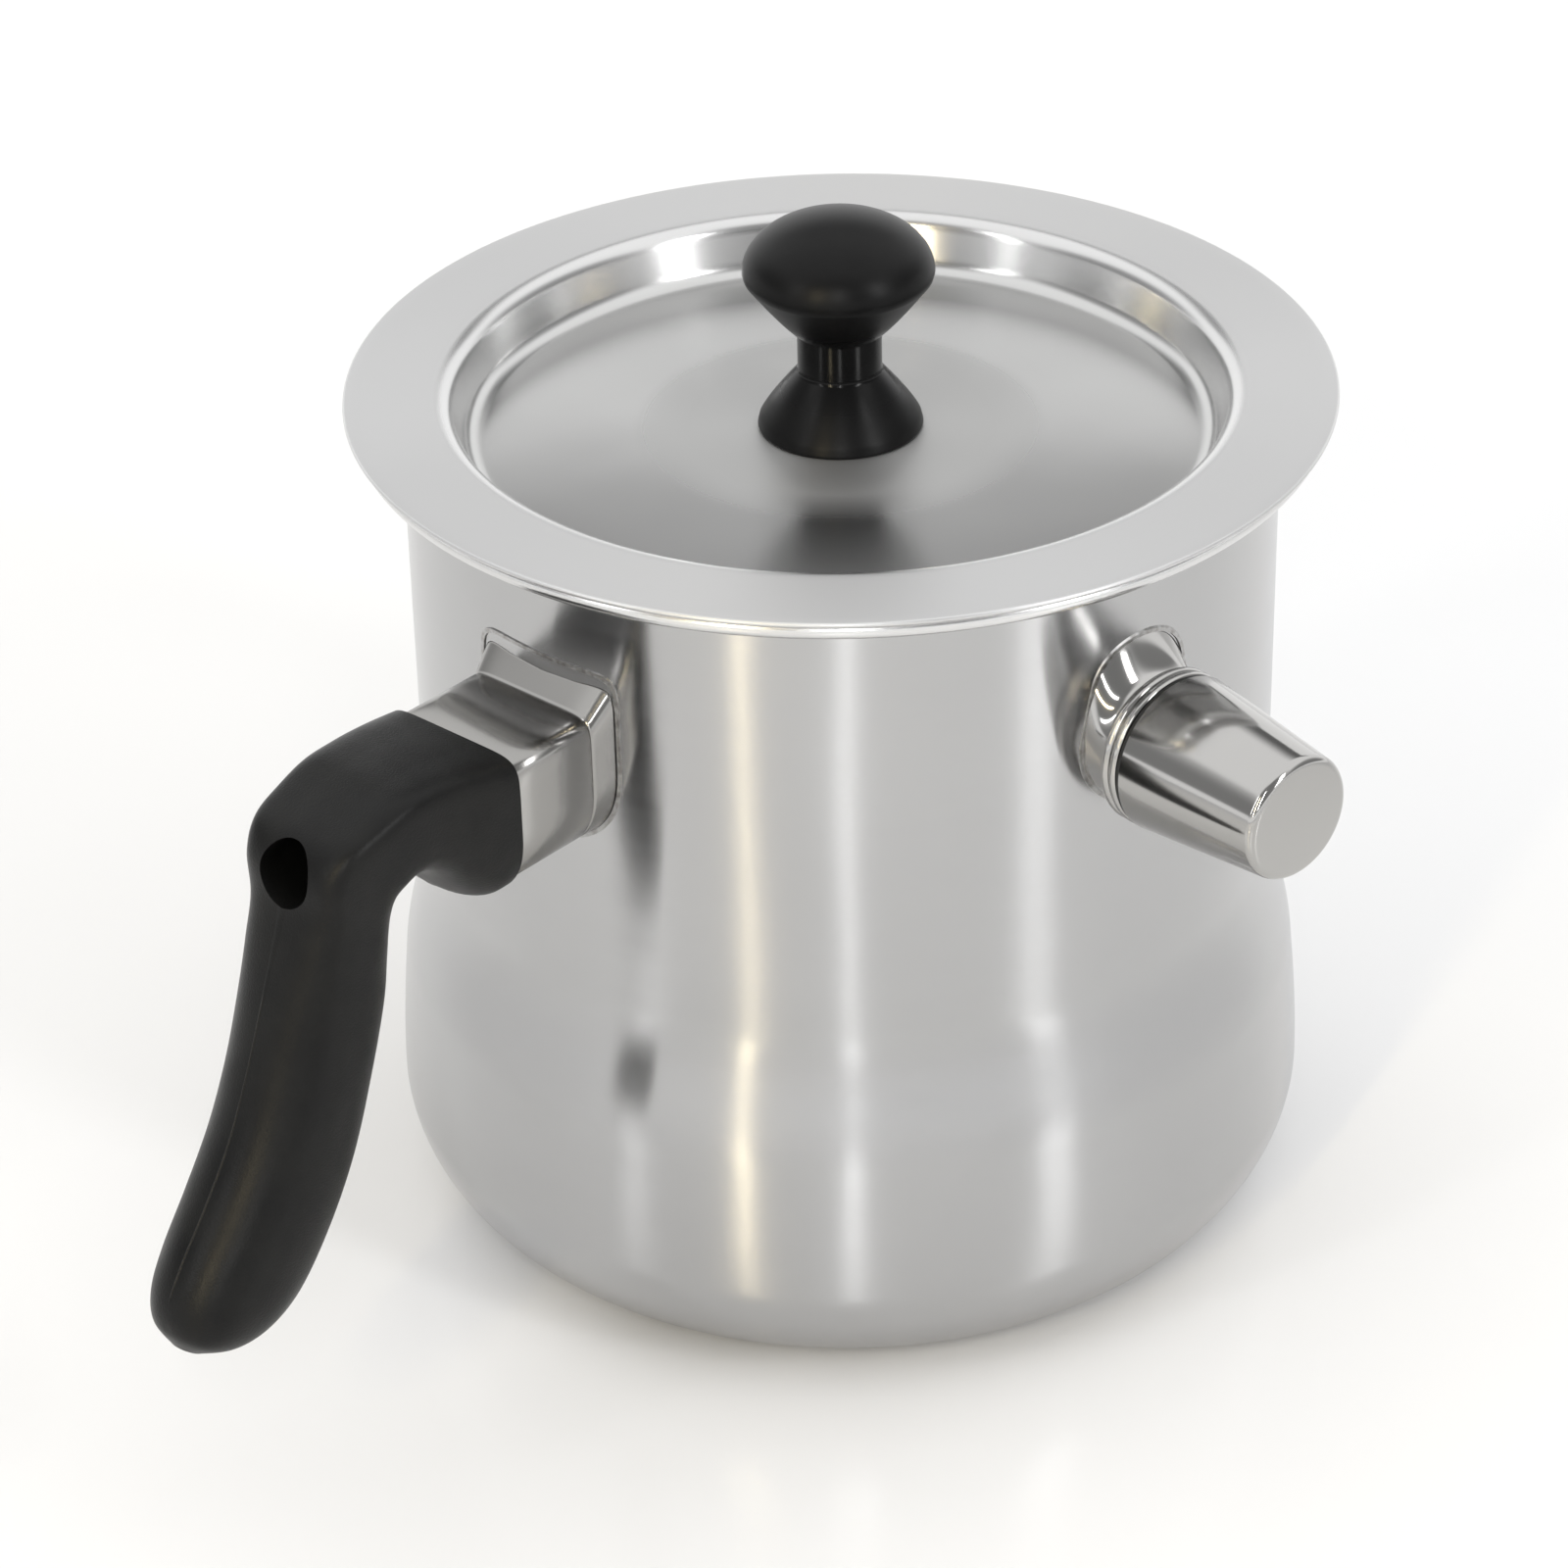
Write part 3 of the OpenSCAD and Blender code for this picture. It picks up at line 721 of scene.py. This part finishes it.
def lid_steel():
    """Polished dish with a satin middle under the knob and a satin flange round it. Its colour is
    painted darker on the dish and lighter across the slope out to the flange, a painted reflection.
    """
    n = Nodes("polished_lid", metallic=1.0)
    flat = n.add("ShaderNodeVectorMath", operation="MULTIPLY")
    flat.inputs[1].default_value = (1, 1, 0)
    n.link(n.place(), flat.inputs[0])
    length = n.add("ShaderNodeVectorMath", operation="LENGTH")
    n.link(flat.outputs["Vector"], length.inputs[0])
    radius = length.outputs["Value"]
    # Painted reflection: the dish is coloured darker and the slope and flange lighter, on one and
    # the same steel sheet
    n.colour(radius, (0.50, 0.50, 0.495), (0.63, 0.63, 0.63), *LID_PAINTED_LIGHT_R)
    middle = n.ramp(radius, LID_MIDDLE_ROUGH, LID_DISH_ROUGH, *LID_MIDDLE_EDGE_R)
    flange = n.ramp(radius, 0.0, LID_FLANGE_ROUGH - LID_DISH_ROUGH, *LID_FLANGE_EDGE_R)
    n.roughness(n.total(middle, flange))
    n.normal(n.bump(n.noise(16, detail=1.5), 0.0003))
    n.turned(LID_SMEAR)
    return n.mat


def satin_steel(name, grey, rough):
    """Unpolished sheet with fine drawing lines."""
    n = Nodes(name, metallic=1.0)
    n.colour(n.noise(30), [g * 0.93 for g in grey], grey)
    fine = n.noise(700, (1, 1, 10), 4.0)
    n.roughness(n.ramp(fine, rough, rough + 0.06))
    n.normal(n.bump(fine, 0.000004, 0.5))
    return n.mat


def weld_steel():
    n = Nodes("weld_bead", metallic=1.0)
    grain = n.noise(900, detail=4.0)
    n.colour(grain, (0.30, 0.29, 0.28), (0.50, 0.50, 0.50))
    n.roughness(n.ramp(grain, 0.28, 0.5))
    n.normal(n.bump(grain, 0.00008))
    return n.mat


def grip_phenolic():
    """Moulded black phenolic: fine grain, slight mottling and a soft sheen."""
    n = Nodes("grip_phenolic")
    n.shader.inputs["Specular IOR Level"].default_value = 0.22
    n.colour(n.noise(90, detail=5.0), (0.002, 0.002, 0.002), (0.005, 0.005, 0.0045))
    grain = n.noise(2600, detail=3.0)
    mottle = n.noise(60, detail=4.0)
    n.roughness(n.ramp(mottle, 0.31, 0.43))
    slow = n.bump(mottle, 0.00002)
    n.normal(n.bump(grain, 0.00006, 1.0, slow))
    return n.mat


def knob_phenolic():
    """Satin moulded black, shinier round the neck where no mould grain reaches."""
    n = Nodes("knob_phenolic")
    n.shader.inputs["Specular IOR Level"].default_value = 0.16
    n.colour(n.noise(90, detail=5.0), (0.002, 0.002, 0.0022), (0.004, 0.004, 0.0042))
    split = n.add("ShaderNodeSeparateXYZ")
    n.link(n.place(), split.inputs["Vector"])
    height = split.outputs["Z"]
    below = n.ramp(height, KNOB_ROUGH, KNOB_NECK_ROUGH, *KNOB_NECK_START_Z)
    above = n.ramp(height, 0.0, KNOB_ROUGH - KNOB_NECK_ROUGH, *KNOB_NECK_END_Z)
    n.roughness(n.total(below, above))
    n.normal(n.bump(n.noise(2600, detail=3.0), 0.00001))
    return n.mat


def rubber():
    n = Nodes("black_silicone")
    grain = n.noise(1500)
    n.colour(grain, (0.010, 0.010, 0.010), (0.018, 0.018, 0.018))
    n.roughness(n.ramp(grain, 0.5, 0.65))
    n.normal(n.bump(grain, 0.00002))
    return n.mat


def brass_metal():
    n = Nodes("plain_brass", metallic=1.0)
    grain = n.noise(60, detail=4.0)
    n.colour(grain, (0.62, 0.42, 0.16), (0.80, 0.60, 0.28))
    n.roughness(n.ramp(grain, 0.22, 0.38))
    n.normal(n.bump(n.noise(1200), 0.00001))
    return n.mat


MATERIALS = {
    "wall": polished_steel("polished_wall", (0.46, 0.46, 0.463), 0.17, True),
    "lid": lid_steel(),
    "small": polished_steel("polished_fittings", (0.42, 0.415, 0.405), 0.10, False),
    # Bracket and ferrule: polished steel with its colour painted darker, painted shade standing in
    # for the dark reflections on their faces
    "painted_shade_steel": polished_steel("polished_steel_painted_shade", (0.31, 0.305, 0.295), 0.18, False),
    "liner": satin_steel("satin_liner", (0.70, 0.70, 0.70), 0.2),
    "fastener": satin_steel("plain_fasteners", (0.55, 0.55, 0.56), 0.25),
    "weld": weld_steel(),
    "grip": grip_phenolic(),
    "knob": knob_phenolic(),
    "silicone": rubber(),
    "brass": brass_metal(),
}


def dress(obj, look):
    obj.data.materials.clear()
    obj.data.materials.append(MATERIALS[look])


def install(obj, look, body, *replaced):
    """Gives a finished piece its material, its body and the CAD nodes that it stands for."""
    dress(obj, look)
    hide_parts(*replaced)
    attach(obj, body)


install(make_jacket(), "wall", "pot", "outer_jacket")
install(make_liner(), "liner", "pot", "inner_liner")
install(make_spout(), "small", "pot", "filler_spout")
install(make_bracket(), "painted_shade_steel", "pot", "handle_bracket")
install(make_ferrule(), "painted_shade_steel", "pot", "handle_ferrule")
install(make_grip(), "grip", "pot", "handle_grip")
install(make_cap(), "small", "whistle", "whistle_cap")
install(make_lid(), "lid", "lid", "lid_shell")
install(make_knob(), "knob", "lid", "lid_knob")

KEPT = {
    "rim_weld": "weld",
    "spout_weld": "weld",
    "bracket_weld": "weld",
    "bracket_nut_plate": "fastener",
    "handle_screw": "fastener",
    "handle_flat_washer": "fastener",
    "handle_spring_washer": "fastener",
    "whistle_barrel": "fastener",
    "whistle_seal": "silicone",
    "whistle_inner_plate": "brass",
    "whistle_spacer": "fastener",
    "whistle_outer_plate": "brass",
    "whistle_retainer": "fastener",
    "knob_insert": "brass",
    "knob_screw": "fastener",
    "knob_washer": "fastener",
}
for node_name, look in KEPT.items():
    dress(nodes[node_name], look)


# ---------------------------------------------------------------------------
# Stage: floor, sky, strip lights and camera
# ---------------------------------------------------------------------------
FLOOR_HALF = 6.0
SKY_WHITE = 1.36
FAR_DIM = 0.85
NEAR_DIM = 0.75
SIDE_DIM = 0.72

# Dimmed patches of the sky. Onset: cosine of the angle from the patch's middle at which it
# starts and is full. Band: lowest and highest sine of the elevation, softness of the two edges.
FAR_ONSET = (0.60, 0.80)
NEAR_ONSET = (0.25, 0.55)
SIDE_ONSET = (0.70, 0.92)
FAR_BAND = (0.479, 0.80, 0.004, 0.05)
NEAR_BAND = (0.14, 0.88, 0.06, 0.06)
SIDE_BAND = (0.10, 0.62, 0.03, 0.06)

# Camera: distances in metres, angles in degrees, lens in millimetres
VIEW_AZIMUTH = -49
VIEW_ELEVATION = 26.69
VIEW_DISTANCE = 0.903
VIEW_YAW = 0.72
VIEW_PITCH = -4.66
VIEW_ROLL = 0.91
VIEW_LENS = 113.76
SENSOR_WIDTH = 36

# Strip lights: azimuth from the viewer's, elevation, width, watts, tint
STRIPS = {
    "strip_centre": (0, 30, 0.10, 5.5, (1, 1, 1)),
    "strip_warm": (-25.5, 26, 0.06, 7.5, (1.0, 0.86, 0.58)),
    "strip_right": (50, 30, 0.26, 8, (1, 1, 1)),
    "strip_left": (-53, 30, 0.16, 3, (1, 1, 1)),
}
STRIP_HEIGHT = 1.0
STRIP_DISTANCE = 1.9


def make_floor():
    mesh = bpy.data.meshes.new("floor")
    corners = [(x * FLOOR_HALF, y * FLOOR_HALF, 0) for x, y in ((-1, -1), (1, -1), (1, 1), (-1, 1))]
    mesh.from_pydata(corners, [], [(0, 1, 2, 3)])
    floor = bpy.data.objects.new("floor", mesh)
    bpy.context.scene.collection.objects.link(floor)
    n = Nodes("pale_satin_floor")
    n.colour(n.noise(3), (0.86, 0.86, 0.86), (0.88, 0.88, 0.88))
    n.roughness(n.ramp(n.noise(3), 0.23, 0.25))
    mesh.materials.append(n.mat)


class SkyMask:
    """Masks over the sky, each from 0 to 1, made from the direction looked in."""

    def __init__(self, tree):
        self.tree = tree
        coords = tree.nodes.new("ShaderNodeTexCoord")
        self.way = coords.outputs["Generated"]

    def along(self, x, y, z):
        """How far a direction runs along the given one."""
        node = self.tree.nodes.new("ShaderNodeVectorMath")
        node.operation = "DOT_PRODUCT"
        node.inputs[1].default_value = (x, y, z)
        self.tree.links.new(self.way, node.inputs[0])
        return node.outputs["Value"]

    def step(self, value, start, end):
        node = self.tree.nodes.new("ShaderNodeMapRange")
        node.interpolation_type = "SMOOTHSTEP"
        node.inputs["From Min"].default_value = start
        node.inputs["From Max"].default_value = end
        self.tree.links.new(value, node.inputs["Value"])
        return node.outputs["Result"]

    def math(self, operation, a, b=0.0):
        node = self.tree.nodes.new("ShaderNodeMath")
        node.operation = operation
        for socket, value in zip(node.inputs, (a, b)):
            if isinstance(value, float):
                socket.default_value = value
            else:
                self.tree.links.new(value, socket)
        return node.outputs["Value"]

    def between(self, height, low, high, soft_low, soft_high):
        """A band of heights, each edge as soft as given."""
        above = self.step(height, low - soft_low, low + soft_low)
        below = self.step(height, high + soft_high, high - soft_high)
        return self.math("MULTIPLY", above, below)


def make_sky():
    """An even white sky with dim patches on the far side, on the viewer's side and at both
    sides, like the walls of a room."""
    world = bpy.data.worlds.new("studio")
    bpy.context.scene.world = world
    world.use_nodes = True
    sky = world.node_tree.nodes["Background"]
    mask = SkyMask(world.node_tree)
    ahead = -toward_viewer(VIEW_AZIMUTH, 0)
    height = mask.along(0, 0, 1)
    far = mask.step(mask.along(*ahead), *FAR_ONSET)
    near = mask.step(mask.along(*-ahead), *NEAR_ONSET)
    side = mask.step(mask.math("ABSOLUTE", mask.along(-ahead.y, ahead.x, 0)), *SIDE_ONSET)
    dim = 0.0
    for part, band, strength in (
        (far, FAR_BAND, FAR_DIM), (side, SIDE_BAND, SIDE_DIM), (near, NEAR_BAND, NEAR_DIM),
    ):
        patch = mask.math("MULTIPLY", part, mask.between(height, *band))
        dim = mask.math("MAXIMUM", dim, mask.math("MULTIPLY", patch, strength))
    light = mask.math("SUBTRACT", 1.0, dim)
    world.node_tree.links.new(light, sky.inputs["Strength"])
    sky.inputs["Color"].default_value = (SKY_WHITE, SKY_WHITE, SKY_WHITE, 1)


def toward_viewer(azimuth, elevation):
    """Unit vector from the pot to a viewer at an azimuth and an elevation, in degrees."""
    a = math.radians(azimuth)
    e = math.radians(elevation)
    return Vector((math.sin(a) * math.cos(e), -math.cos(a) * math.cos(e), math.sin(e)))


def make_strip(name, azimuth, elevation, width, watts, tint):
    """A tall soft strip light that faces the pot. The azimuth counts from the viewer's."""
    light = bpy.data.lights.new(name, "AREA")
    light.shape = "RECTANGLE"
    light.size = width
    light.size_y = STRIP_HEIGHT
    light.energy = watts
    light.color = tint
    lamp = bpy.data.objects.new(name, light)
    bpy.context.scene.collection.objects.link(lamp)
    way = toward_viewer(VIEW_AZIMUTH + azimuth, elevation)
    lamp.location = way * STRIP_DISTANCE
    lamp.rotation_euler = (-way).to_track_quat("-Z", "Y").to_euler()
    lamp.visible_camera = False


def make_camera():
    data = bpy.data.cameras.new("camera")
    data.lens = VIEW_LENS
    data.sensor_width = SENSOR_WIDTH
    data.clip_start = 0.01
    camera = bpy.data.objects.new("camera", data)
    bpy.context.scene.collection.objects.link(camera)
    bpy.context.scene.camera = camera
    lid_centre = Vector((0, 0, LID_Z * MM))
    way = toward_viewer(VIEW_AZIMUTH, VIEW_ELEVATION)
    look = (-way).to_track_quat("-Z", "Y").to_matrix().to_4x4()
    look = look @ Matrix.Rotation(math.radians(VIEW_YAW), 4, "Y")
    look = look @ Matrix.Rotation(math.radians(VIEW_PITCH), 4, "X")
    look = look @ Matrix.Rotation(math.radians(-VIEW_ROLL), 4, "Z")
    camera.matrix_world = Matrix.Translation(lid_centre + way * VIEW_DISTANCE) @ look


make_floor()
make_sky()
for strip_name, strip in STRIPS.items():
    make_strip(strip_name, *strip)
make_camera()
bpy.context.scene.view_settings.view_transform = "Standard"
